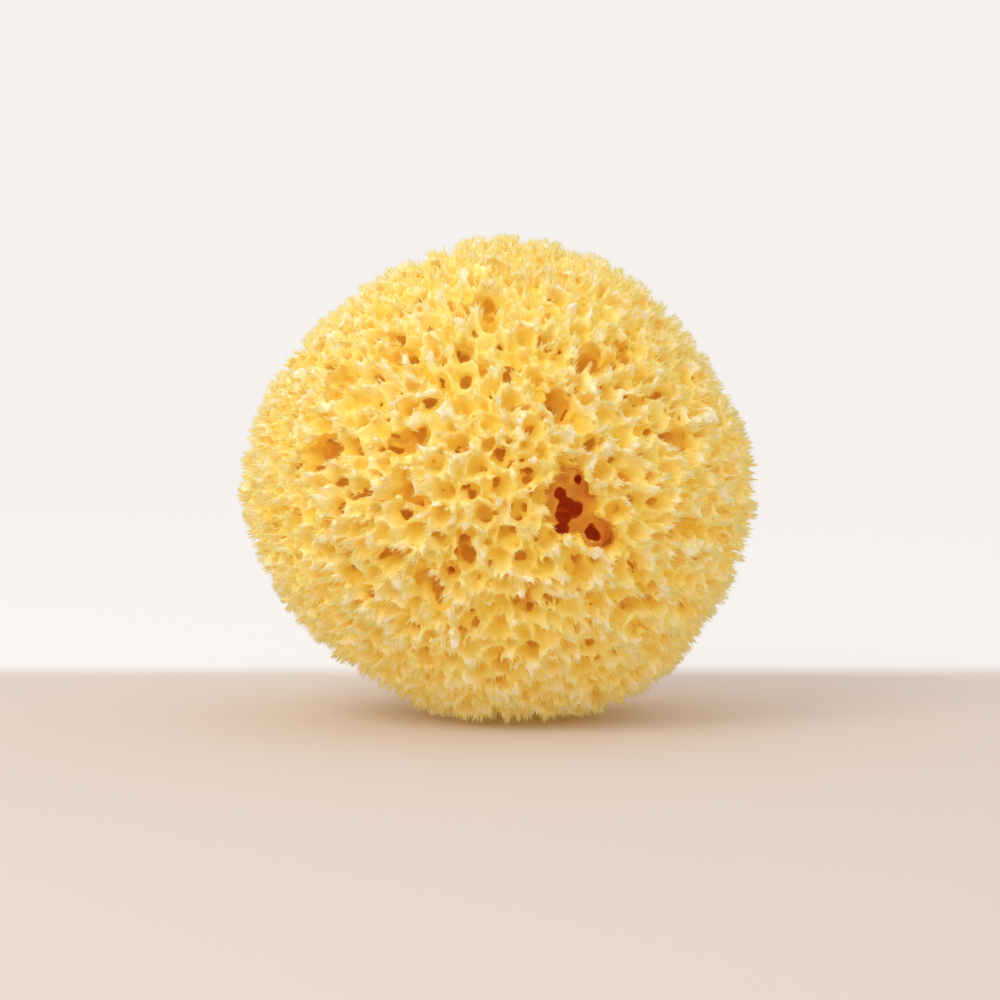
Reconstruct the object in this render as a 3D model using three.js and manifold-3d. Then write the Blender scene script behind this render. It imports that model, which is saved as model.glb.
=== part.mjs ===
// A natural honeycomb bath sponge, dry, standing on the flat cut where it grew on the rock.
//
// It grew as one piece, so it is one mesh: a lumpy round body, a little wider than tall and less deep,
// with rounded pits (the oscula) that lead into it all over, and a flat foot underneath.
//
// Millimetres, +Z up, +X to the right, the front faces -Y. The origin is on the floor, at the middle of
// the body's box. Needs the npm packages three and manifold-3d.

import * as THREE from "three";
import { mergeVertices } from "three/addons/utils/BufferGeometryUtils.js";
import Module from "manifold-3d";

const wasm = await Module();
wasm.setup();

// ---------- driving dimensions ----------

const HEIGHT = 130; // over the tips, floor to top
const FRONT_DEPTH = 62; // from the middle to the foremost tips
const BACK_DEPTH = 56; // from the middle to the rearmost tips
const BACK_FULLNESS = 2.3; // exponent of the back's section: 2 is an ellipse, more is flatter
const FRONT_FULLNESS = 2.05;
const FACET_DETAIL = 11; // subdivision of the body's icosahedron: 20 * (detail + 1)^2 facets
const PIT_DETAIL = 1; // the same for a pit
const RIPPLE = 0.8; // height of the small unevenness between the swellings

// The front outline: radius from the body's middle every 30 degrees, counter-clockwise from +X.
// The value straight down is past the floor, which cuts the foot flat.
const OUTLINE = [70, 64.6, 65.2, 65, 63.4, 65, 70, 67.5, 65.6, 69.5, 70.2, 69.8];

// Broad swellings (+) and hollows (-) of the surface: where they point, how high, how wide (radians).
const SWELLINGS = [
  { towards: [0.5, -0.8, -0.3], high: 1.0, spread: 0.55 },
  { towards: [-0.6, -0.75, 0.25], high: 1.0, spread: 0.5 },
  { towards: [-0.2, -0.85, -0.5], high: -0.8, spread: 0.45 },
  { towards: [0.1, -0.7, 0.7], high: -0.8, spread: 0.45 },
  { towards: [0.7, 0.7, 0.2], high: 1.8, spread: 0.55 },
  { towards: [-0.5, 0.8, 0.35], high: 1.4, spread: 0.6 },
  { towards: [0.1, 0.95, -0.3], high: -1.6, spread: 0.5 },
  { towards: [-0.7, 0.6, -0.4], high: 1.2, spread: 0.45 },
];

// The large pits of the front: middle of the mouth (x from the middle, z from the floor), size of the
// mouth across and up, and how far the pit reaches in. The first is the deepest, the main osculum.
const FRONT_PITS = [
  { x: 18.5, z: 61.5, across: 11.5, up: 14.5, deep: 20 },
  { x: 26.5, z: 53.5, across: 8.5, up: 7.0, deep: 14 },
  { x: 21.5, z: 44.5, across: 8.0, up: 7.5, deep: 8 },
  { x: 16.5, z: 88.0, across: 7.0, up: 9.5, deep: 11 },
  { x: 25.0, z: 100.5, across: 9.0, up: 8.0, deep: 10 },
  { x: 34.5, z: 101.0, across: 5.0, up: 7.5, deep: 9 },
  { x: -3.5, z: 115.0, across: 12.5, up: 8.0, deep: 11 },
  { x: -25.5, z: 101.5, across: 8.5, up: 6.0, deep: 8 },
  { x: -41.0, z: 94.0, across: 8.5, up: 7.5, deep: 10 },
  { x: -47.0, z: 75.0, across: 13.0, up: 8.5, deep: 12 },
  { x: -25.5, z: 78.0, across: 9.5, up: 8.0, deep: 11 },
  { x: -25.0, z: 65.5, across: 8.0, up: 5.0, deep: 10 },
  { x: -29.0, z: 47.0, across: 11.0, up: 6.0, deep: 9 },
  { x: -18.5, z: 39.5, across: 6.5, up: 8.5, deep: 11 },
  { x: -9.0, z: 47.5, across: 6.5, up: 7.0, deep: 10 },
  { x: 7.0, z: 33.5, across: 7.0, up: 6.0, deep: 10 },
  { x: 37.5, z: 34.0, across: 9.0, up: 7.5, deep: 10 },
  { x: 49.0, z: 78.0, across: 11.0, up: 7.5, deep: 10 },
  { x: 52.0, z: 54.0, across: 9.0, up: 5.5, deep: 9 },
  { x: 3.0, z: 14.5, across: 8.5, up: 6.5, deep: 8 },
];

// The pits of the sides, top and back are strewn evenly, each a little off its place and size.
const STREWN_PLACES = 150; // places tried
const STREWN_WIDTH = [7.5, 11.5];
const STREWN_DEEP = [7, 11];
const PIT_APART = 20.5; // least distance between the middles of two strewn mouths
const FOOT_MARGIN = 9; // no strewn mouth's middle is this close to the floor
const MOUTH_SHARE = 0.28; // how much of a pit's depth its widest place lies under the mouth

// ---------- the body's surface ----------

const MIDDLE = new THREE.Vector3(0, 0, HEIGHT / 2);
const GOLDEN_ANGLE = Math.PI * (3 - Math.sqrt(5));

/** A repeatable number from 0 to 1 for a whole number. */
function chance(n) {
  const s = Math.sin(n * 127.1 + 311.7) * 43758.5453;
  return s - Math.floor(s);
}

/** The front outline's radius at an angle, smoothly between the radii of OUTLINE. */
function outlineRadius(angle) {
  const turn = THREE.MathUtils.euclideanModulo(angle / (2 * Math.PI), 1) * OUTLINE.length;
  const at = (i) => OUTLINE[THREE.MathUtils.euclideanModulo(i, OUTLINE.length)];
  const i = Math.floor(turn);
  const t = turn - i;
  const [a, b, c, d] = [at(i - 1), at(i), at(i + 1), at(i + 2)];
  return b + 0.5 * t * (c - a + t * (2 * a - 5 * b + 4 * c - d + t * (3 * (b - c) + d - a)));
}

/** The distance from the middle to the tips in a direction, before the foot is cut flat. */
function bodyRadius(direction) {
  const side = Math.hypot(direction.x, direction.z);
  const depth = direction.y < 0 ? FRONT_DEPTH : BACK_DEPTH;
  const n = direction.y < 0 ? FRONT_FULLNESS : BACK_FULLNESS;
  const outline = outlineRadius(Math.atan2(direction.z, direction.x));
  let r = ((side / outline) ** n + (Math.abs(direction.y) / depth) ** n) ** (-1 / n);
  for (const { towards, high, spread } of SWELLINGS) {
    const off = direction.angleTo(new THREE.Vector3(...towards)) / spread;
    r += high * Math.exp(-off * off) * Math.min(1, 2.5 * Math.abs(direction.y));
  }
  const { x, y, z } = direction;
  const inner = Math.abs(y) * RIPPLE; // none on the outline, whose sizes are given
  return r + inner * (Math.sin(9 * x + 4 * z) + Math.sin(8 * y + 7 * z + 2) + Math.sin(11 * x - 6 * y));
}

/** The point of the surface in a direction, with the part under the floor drawn up to it. */
function surfacePoint(direction) {
  const p = direction.clone().multiplyScalar(bodyRadius(direction)).add(MIDDLE);
  if (p.z < 0) p.lerpVectors(MIDDLE, p, MIDDLE.z / (MIDDLE.z - p.z));
  return p;
}

/** A closed geometry's solid. Its positions alone are kept, and shared vertices are merged. */
function solid(geometry) {
  geometry.deleteAttribute("normal");
  geometry.deleteAttribute("uv");
  const merged = mergeVertices(geometry, 1e-4);
  return new wasm.Manifold(
    new wasm.Mesh({
      numProp: 3,
      vertProperties: new Float32Array(merged.attributes.position.array),
      triVerts: new Uint32Array(merged.index.array),
    }),
  );
}

/** The body without its pits. */
function bodySolid() {
  const ball = new THREE.IcosahedronGeometry(1, FACET_DETAIL);
  const place = ball.attributes.position;
  const v = new THREE.Vector3();
  for (let i = 0; i < place.count; i++) {
    const p = surfacePoint(v.fromBufferAttribute(place, i).normalize());
    place.setXYZ(i, p.x, p.y, p.z < 1e-3 ? 0 : p.z);
  }
  return solid(ball);
}

// ---------- the pits ----------

/** The direction from the middle to the front surface at x and z. */
function frontDirection(x, z) {
  const up = z - MIDDLE.z;
  const share = Math.min(0.98, Math.hypot(x, up) / outlineRadius(Math.atan2(up, x)));
  const y = -FRONT_DEPTH * Math.sqrt(1 - share * share);
  return new THREE.Vector3(x, y, up).normalize();
}

/** A rounded pit that runs in from a mouth in the given direction. */
function pitSolid({ direction, across, up, deep }) {
  const mouth = surfacePoint(direction);
  const under = MOUTH_SHARE * deep;
  const ball = new THREE.IcosahedronGeometry(1, PIT_DETAIL);
  const inward = direction.clone().negate();
  const right = new THREE.Vector3().crossVectors(inward, new THREE.Vector3(0, 0, 1)).normalize();
  const top = new THREE.Vector3().crossVectors(right, inward);
  const widest = mouth.clone().addScaledVector(inward, under);
  ball.scale(across / 2, up / 2, deep - under);
  ball.applyMatrix4(new THREE.Matrix4().makeBasis(right, top, inward.clone().negate()).setPosition(widest));
  return solid(ball);
}

/** The pits of the front, as the list at the top gives them. */
function frontPits() {
  return FRONT_PITS.map(({ x, z, ...size }) => ({ direction: frontDirection(x, z), ...size }));
}

/** Pits spread over the sides, top and back, clear of the front ones and of the foot. */
function strewnPits(taken) {
  const pits = [];
  const mouths = taken.map((pit) => surfacePoint(pit.direction));
  for (let i = 0; i < STREWN_PLACES; i++) {
    const height = 1 - (2 * i + 1) / STREWN_PLACES;
    const ring = Math.sqrt(1 - height * height);
    const turn = i * GOLDEN_ANGLE + 0.5 * chance(i);
    const direction = new THREE.Vector3(ring * Math.cos(turn), ring * Math.sin(turn), height);
    const mouth = surfacePoint(direction);
    const front = direction.y < -0.35;
    const clear = mouths.every((other) => other.distanceTo(mouth) > PIT_APART);
    if (front || !clear || mouth.z < FOOT_MARGIN) continue;
    mouths.push(mouth);
    pits.push({
      direction,
      across: THREE.MathUtils.lerp(...STREWN_WIDTH, chance(i + 0.3)),
      up: THREE.MathUtils.lerp(...STREWN_WIDTH, chance(i + 0.6)),
      deep: THREE.MathUtils.lerp(...STREWN_DEEP, chance(i + 0.9)),
    });
  }
  return pits;
}

// ---------- the sponge ----------

/** The body with its pits cut, as a geometry that stands on the floor with its box around the Z axis. */
function spongeGeometry() {
  const front = frontPits();
  const pits = [...front, ...strewnPits(front)].map(pitSolid);
  const cut = pits.reduce((body, pit) => body.subtract(pit), bodySolid());
  const { vertProperties, triVerts, numProp } = cut.getMesh();
  const geometry = new THREE.BufferGeometry();
  geometry.setAttribute("position", new THREE.BufferAttribute(new Float32Array(vertProperties), numProp));
  geometry.setIndex(new THREE.BufferAttribute(new Uint32Array(triVerts), 1));
  geometry.computeBoundingBox();
  const { min, max } = geometry.boundingBox;
  geometry.translate(-(min.x + max.x) / 2, -(min.y + max.y) / 2, -min.z);
  geometry.computeVertexNormals();
  return geometry;
}

const dryFibre = new THREE.MeshStandardMaterial({ color: 0xf0cf78, roughness: 0.95, metalness: 0 });

const sponge = new THREE.Mesh(spongeGeometry(), dryFibre);
sponge.name = "sponge";

const group = new THREE.Group();
group.add(sponge);

export default group;
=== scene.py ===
"""The looks of a dry natural honeycomb sponge, built around its CAD frame.

The sponge grew as one piece, so it is made as one mass. Rounded cells are carved out of the CAD body in a
field of distances, layer under layer, and what stays between them are the webs. Near the skin the webs run
out into flames and teeth, and fine fibres stand on their crests. The mass is cut into eight sectors at the
end, only to keep each mesh a workable size.

Metres, +Z up, the front faces -Y, as in the frame.
"""

import logging
import math
from dataclasses import dataclass, field
from enum import Enum

import bmesh
import bpy
import numpy as np
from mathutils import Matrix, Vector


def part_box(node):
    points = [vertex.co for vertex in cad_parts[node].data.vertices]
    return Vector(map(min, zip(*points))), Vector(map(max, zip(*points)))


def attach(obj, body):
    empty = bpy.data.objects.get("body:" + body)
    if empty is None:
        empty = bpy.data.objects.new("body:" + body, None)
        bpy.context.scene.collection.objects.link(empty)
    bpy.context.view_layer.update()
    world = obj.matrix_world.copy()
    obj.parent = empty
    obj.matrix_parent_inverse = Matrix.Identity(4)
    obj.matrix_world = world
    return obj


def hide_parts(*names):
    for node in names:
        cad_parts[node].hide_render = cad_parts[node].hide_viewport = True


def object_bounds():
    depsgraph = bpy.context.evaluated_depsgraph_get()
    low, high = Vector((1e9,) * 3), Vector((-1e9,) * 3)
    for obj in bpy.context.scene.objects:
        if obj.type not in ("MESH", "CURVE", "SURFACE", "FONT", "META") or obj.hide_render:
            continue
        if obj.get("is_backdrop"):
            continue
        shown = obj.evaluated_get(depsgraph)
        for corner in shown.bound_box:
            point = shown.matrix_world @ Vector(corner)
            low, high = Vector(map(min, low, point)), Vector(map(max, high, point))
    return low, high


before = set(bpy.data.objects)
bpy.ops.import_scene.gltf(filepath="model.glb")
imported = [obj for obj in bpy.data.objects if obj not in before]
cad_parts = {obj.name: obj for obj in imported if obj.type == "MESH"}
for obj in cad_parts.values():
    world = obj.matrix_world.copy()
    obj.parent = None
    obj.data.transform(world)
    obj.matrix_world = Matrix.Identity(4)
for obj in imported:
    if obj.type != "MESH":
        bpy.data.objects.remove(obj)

import openvdb
from mathutils import Matrix, Vector

MM = 0.001
TINY = 1e-9  # keeps a length from being zero
NODE = "sponge"
SEED = 11

log = logging.getLogger("sponge")


# ---------- small tools ----------


class LatticeNoise:
    """Smooth seeded noise in space, from -1 to 1."""

    SIDE = 64  # cells before it repeats

    def __init__(self, rng: np.random.Generator) -> None:
        """Draws the values at the lattice's corners from a source of chance."""
        self.table = rng.uniform(-1, 1, (self.SIDE,) * 3).astype(np.float32)

    def at(self, points: np.ndarray, cell: float, offset: float = 0.0) -> np.ndarray:
        """The noise at some points.

        Args:
            points: N by 3 positions.
            cell: width of one lattice cell, which is about the width of a bump.
            offset: moves the lattice, for a pattern of its own.

        Returns:
            N values.
        """
        place = points / np.float32(cell) + np.float32(offset)
        corner = np.floor(place).astype(np.int32)
        part = (place - corner).astype(np.float32)
        part = part * part * (3 - 2 * part)
        low, high = corner % self.SIDE, (corner + 1) % self.SIDE
        value = np.zeros(len(points), np.float32)
        for dx in (0, 1):
            x = high[:, 0] if dx else low[:, 0]
            wx = part[:, 0] if dx else 1 - part[:, 0]
            for dy in (0, 1):
                y = high[:, 1] if dy else low[:, 1]
                wxy = wx * (part[:, 1] if dy else 1 - part[:, 1])
                value += wxy * (1 - part[:, 2]) * self.table[x, y, low[:, 2]]
                value += wxy * part[:, 2] * self.table[x, y, high[:, 2]]
        return value


def new_object(name: str, mesh: bpy.types.Mesh) -> bpy.types.Object:
    """An object at the origin that shows a mesh."""
    piece = bpy.data.objects.new(name, mesh)
    bpy.context.scene.collection.objects.link(piece)
    return piece


def write_attribute(mesh: bpy.types.Mesh, name: str, values: np.ndarray) -> None:
    """Gives each vertex of a mesh a number that its material can read."""
    layer = mesh.attributes.get(name) or mesh.attributes.new(name, "FLOAT", "POINT")
    layer.data.foreach_set("value", np.ascontiguousarray(values, np.float32))


def vertex_array(mesh: bpy.types.Mesh, what: str = "co") -> np.ndarray:
    """Reads the vertices of a mesh.

    Args:
        mesh: the mesh.
        what: "co" for the places, "normal" for the normals.

    Returns:
        N by 3 values.
    """
    values = np.empty(len(mesh.vertices) * 3, np.float32)
    if what == "co":
        mesh.vertices.foreach_get("co", values)
    else:
        mesh.vertex_normals.foreach_get("vector", values)
    return values.reshape(-1, 3)


def fill_mesh(name: str, points: np.ndarray, faces: np.ndarray) -> bpy.types.Mesh:
    """A mesh from arrays, for shapes that come out of the field or repeat thousands of times.

    Args:
        name: the mesh's name.
        points: N by 3 positions.
        faces: M by 3 or 4 vertex numbers.

    Returns:
        The mesh, shaded smooth.
    """
    mesh = bpy.data.meshes.new(name)
    count, corners = faces.shape
    mesh.vertices.add(len(points))
    mesh.vertices.foreach_set("co", np.ascontiguousarray(points, np.float32).ravel())
    mesh.loops.add(count * corners)
    mesh.loops.foreach_set("vertex_index", np.ascontiguousarray(faces, np.int32).ravel())
    mesh.polygons.add(count)
    mesh.polygons.foreach_set("loop_start", np.arange(count, dtype=np.int32) * corners)
    mesh.update(calc_edges=True)
    mesh.shade_smooth()
    return mesh


def largest_part(count: int, faces: np.ndarray) -> np.ndarray:
    """Finds the connected part of a mesh that has the most points.

    Args:
        count: how many points the mesh has.
        faces: M by 4 vertex numbers.

    Returns:
        True for each point of that part.
    """
    first, second = faces.T.ravel(), np.roll(faces, -1, axis=1).T.ravel()
    label = np.arange(count, dtype=np.int32)
    while True:
        a, b = label[first], label[second]
        apart = a != b
        if not apart.any():
            break
        first, second, a, b = first[apart], second[apart], a[apart], b[apart]
        label[np.maximum(a, b)] = np.minimum(a, b)
        while (label[label] != label).any():
            label = label[label]
    return label == np.bincount(label).argmax()


# ---------- the skin over the tips ----------


class Envelope:
    """The skin that the sponge's tips reach: the hull of the CAD body, as a radius for every direction."""

    RINGS = 121
    SPOKES = 240
    SPLAY = 0.55  # how much less the growth leans to the front or back than to the sides
    MERGE = 0.01 * MM  # corners nearer than this are one
    SLIVER = 0.05 * MM  # how far a corner may stand before a true face of the hull
    LEAST = 1e-6  # least share of a face's normal that a direction must have to meet it

    def __init__(self, node: bpy.types.Object) -> None:
        """Measures the hull round the CAD node."""
        low, high = (np.array(corner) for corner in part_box(NODE))
        self.low, self.high = low, high
        self.middle = (low + high) / 2
        self.table = self._radius_table(*self._hull_planes(node))

    def _hull_planes(self, node: bpy.types.Object) -> tuple[np.ndarray, np.ndarray]:
        """Finds the hull's faces.

        Args:
            node: the CAD node.

        Returns:
            The faces' outward normals, and each face's distance from the middle.
        """
        bm = bmesh.new()
        for vertex in node.data.vertices:
            bm.verts.new(vertex.co)
        bmesh.ops.remove_doubles(bm, verts=bm.verts, dist=self.MERGE)
        bmesh.ops.convex_hull(bm, input=bm.verts)
        bm.normal_update()
        corners = np.array([v.co for v in bm.verts if v.link_faces]) - self.middle
        normals = np.array([f.normal for f in bm.faces])
        distances = np.array([f.verts[0].co for f in bm.faces]) - self.middle
        distances = (distances * normals).sum(axis=1)
        normals *= np.where(distances < 0, -1, 1)[:, None]
        distances = np.abs(distances)
        bm.free()
        # a sliver face can point anywhere: a true one has every corner behind it
        true = np.array([(corners @ n).max() <= d + self.SLIVER for n, d in zip(normals, distances)])
        return normals[true], distances[true]

    def _radius_table(self, normals: np.ndarray, distances: np.ndarray) -> np.ndarray:
        """Measures the hull on a grid of directions.

        Args:
            normals: the outward normals of the hull's faces.
            distances: each face's distance from the middle.

        Returns:
            The radii, RINGS from pole to pole by SPOKES + 1 round.
        """
        tilt = np.linspace(0, np.pi, self.RINGS)[:, None]
        turn = np.linspace(-np.pi, np.pi, self.SPOKES + 1)[None, :]
        rings = np.sin(tilt)
        grid = np.stack(np.broadcast_arrays(rings * np.cos(turn), rings * np.sin(turn), np.cos(tilt)), -1)
        table = np.empty(grid.shape[:2])
        for ring, directions in enumerate(grid):
            facing = directions @ normals.T
            reach = np.where(facing > self.LEAST, distances / np.maximum(facing, self.LEAST), np.inf)
            table[ring] = reach.min(axis=1)
        return table

    def radius(self, directions: np.ndarray) -> np.ndarray:
        """The distance from the middle to the skin.

        Args:
            directions: unit directions, whose last axis is x, y, z.

        Returns:
            A radius for each.
        """
        tilt = np.arccos(np.clip(directions[..., 2], -1, 1)) / np.pi * (self.RINGS - 1)
        turn = np.arctan2(directions[..., 1], directions[..., 0]) + np.pi
        turn = turn / (2 * np.pi) * self.SPOKES
        i = np.clip(tilt.astype(int), 0, self.RINGS - 2)
        j = np.clip(turn.astype(int), 0, self.SPOKES - 1)
        a, b = tilt - i, turn - j
        near = self.table[i, j] * (1 - a) + self.table[i + 1, j] * a
        far = self.table[i, j + 1] * (1 - a) + self.table[i + 1, j + 1] * a
        return near * (1 - b) + far * b

    def depth(self, points: np.ndarray) -> np.ndarray:
        """How far points lie under the skin, towards the middle."""
        arm = points - self.middle
        length = np.linalg.norm(arm, axis=-1) + TINY
        return self.radius(arm / length[..., None]) - length

    def growth(self, points: np.ndarray) -> np.ndarray:
        """The unit direction in which the webs grow outwards at points."""
        way = (points - self.middle) * np.array([1, self.SPLAY, 1], points.dtype)
        return way / (np.linalg.norm(way, axis=-1, keepdims=True) + TINY).astype(points.dtype)


# ---------- the cells ----------


@dataclass(frozen=True)
class CellLayer:
    """One layer of rounded cells that lie at about the same depth."""

    tries: int
    radius: tuple[float, float]
    depth: tuple[float, float]
    apart: float  # least distance between two cells, as a share of their radii
    stretch: float  # length along the cell's axis, as a share of its width
    small_share: float = 1.0  # above 1 there are more small ones


@dataclass
class Cells:
    """The cells thrown so far: where each is, its radius, its axis and its stretch."""

    places: list[np.ndarray] = field(default_factory=list)
    radii: list[float] = field(default_factory=list)
    axes: list[np.ndarray] = field(default_factory=list)
    stretches: list[float] = field(default_factory=list)

    AXIS_SPREAD = 0.22  # how far an axis leans off the radius

    def throw(self, layer: CellLayer, skin: Envelope, rng: np.random.Generator) -> int:
        """Throws a layer's cells at random, large ones first, and keeps those that have room.

        Args:
            layer: the cells' sizes and depths.
            skin: the envelope that depths are measured from.
            rng: the source of chance.

        Returns:
            How many found room.
        """
        outward = rng.normal(size=(layer.tries, 3))
        outward /= np.linalg.norm(outward, axis=1)[:, None]
        small, large = layer.radius
        radii = small + (large - small) * rng.random(layer.tries) ** layer.small_share
        depths = rng.uniform(*layer.depth, layer.tries)
        places = skin.middle + outward * (skin.radius(outward) - depths)[:, None]
        axes = skin.growth(places) + rng.normal(scale=self.AXIS_SPREAD, size=outward.shape)
        axes /= np.linalg.norm(axes, axis=1)[:, None]
        before = len(self.radii)
        taken = np.zeros((before + layer.tries, 3))
        widths = np.zeros(before + layer.tries)
        if before:
            taken[:before] = self.places
            widths[:before] = self.radii
        count = before
        for k in np.argsort(-radii):
            gap = taken[:count] - places[k]
            along = gap @ axes[k]
            across = (gap**2).sum(axis=1) - along**2 + (along / layer.stretch) ** 2
            if (across < (layer.apart * (widths[:count] + radii[k])) ** 2).any():
                continue
            taken[count], widths[count] = places[k], radii[k]
            count += 1
            self.places.append(places[k])
            self.radii.append(float(radii[k]))
            self.axes.append(axes[k])
            self.stretches.append(layer.stretch)
        return count - before


@dataclass(frozen=True)
class Osculum:
    """The main mouth: a shallow ledge with openings that lead further in, painted redder than the rest
    with shade that grows deeper in.
    """

    x: float = 20.0 * MM
    z: float = 60.0 * MM
    reach: float = 12.0 * MM  # how far from its middle the ledge goes
    ledge: float = 7.0 * MM  # depth of the ledge
    end: float = 16.0 * MM  # depth that the openings go to
    above: float = 5.0 * MM  # how far its cells start over the place they open at
    below: float = 9.0 * MM  # how far the mouths would go under the ledge, which cuts them
    uneven: tuple[float, float] = (1.2 * MM, 4.0 * MM)  # height and width of the ledge's swellings
    painted_redness: float = 0.26  # painted red shade added round the mouth, growing deeper in
    inner_painted_redness: float = 0.35  # more painted red shade, added further in the openings
    mouths: tuple[tuple[float, float, float], ...] = (  # x, z and radius
        (18.0 * MM, 65.4 * MM, 5.4 * MM),
        (18.9 * MM, 59.8 * MM, 6.2 * MM),
        (25.6 * MM, 53.4 * MM, 4.2 * MM),
    )
    openings: tuple[tuple[float, float, float], ...] = (
        (16.2 * MM, 63.6 * MM, 2.2 * MM),
        (17.2 * MM, 61.2 * MM, 2.7 * MM),
        (19.4 * MM, 60.0 * MM, 2.2 * MM),
        (16.4 * MM, 58.0 * MM, 2.3 * MM),
        (15.8 * MM, 55.0 * MM, 1.9 * MM),
        (20.6 * MM, 67.6 * MM, 1.3 * MM),
        (23.6 * MM, 53.8 * MM, 1.8 * MM),
        (25.3 * MM, 53.0 * MM, 1.6 * MM),
    )

    PAST = 1.1  # where those places start, as a share of the box's front
    STEPS = 400  # places tried for the middle of a cell
    BEHIND = 9  # added to the share of points behind the sponge

    def cells(self, skin: Envelope, inner: bool) -> Cells:
        """Makes long cells that run straight in.

        Args:
            skin: the envelope that depths are measured from.
            inner: whether the openings are wanted, or the mouths over them.

        Returns:
            The cells.
        """
        if inner:
            start, end = self.ledge - self.above, self.end
        else:
            start, end = -self.above, self.ledge + self.below
        dug = Cells()
        for x, z, radius in self.openings if inner else self.mouths:
            y = np.linspace(self.PAST * skin.low[1], skin.middle[1], self.STEPS)
            line = np.stack(np.broadcast_arrays(x, y, z), -1)
            dug.places.append(line[np.argmin(np.abs(skin.depth(line) - (start + end) / 2))])
            dug.radii.append(radius)
            dug.axes.append(np.array([0.0, -1.0, 0.0]))
            dug.stretches.append((end - start) / 2 / radius)
        return dug

    def off(self, points: np.ndarray) -> np.ndarray:
        """How far points lie from its middle line, as a share of its reach. Above 1 behind the sponge."""
        across = np.hypot(points[:, 0] - self.x, points[:, 2] - self.z) / self.reach
        return across + (points[:, 1] > 0) * self.BEHIND


# ---------- the mass ----------


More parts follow.
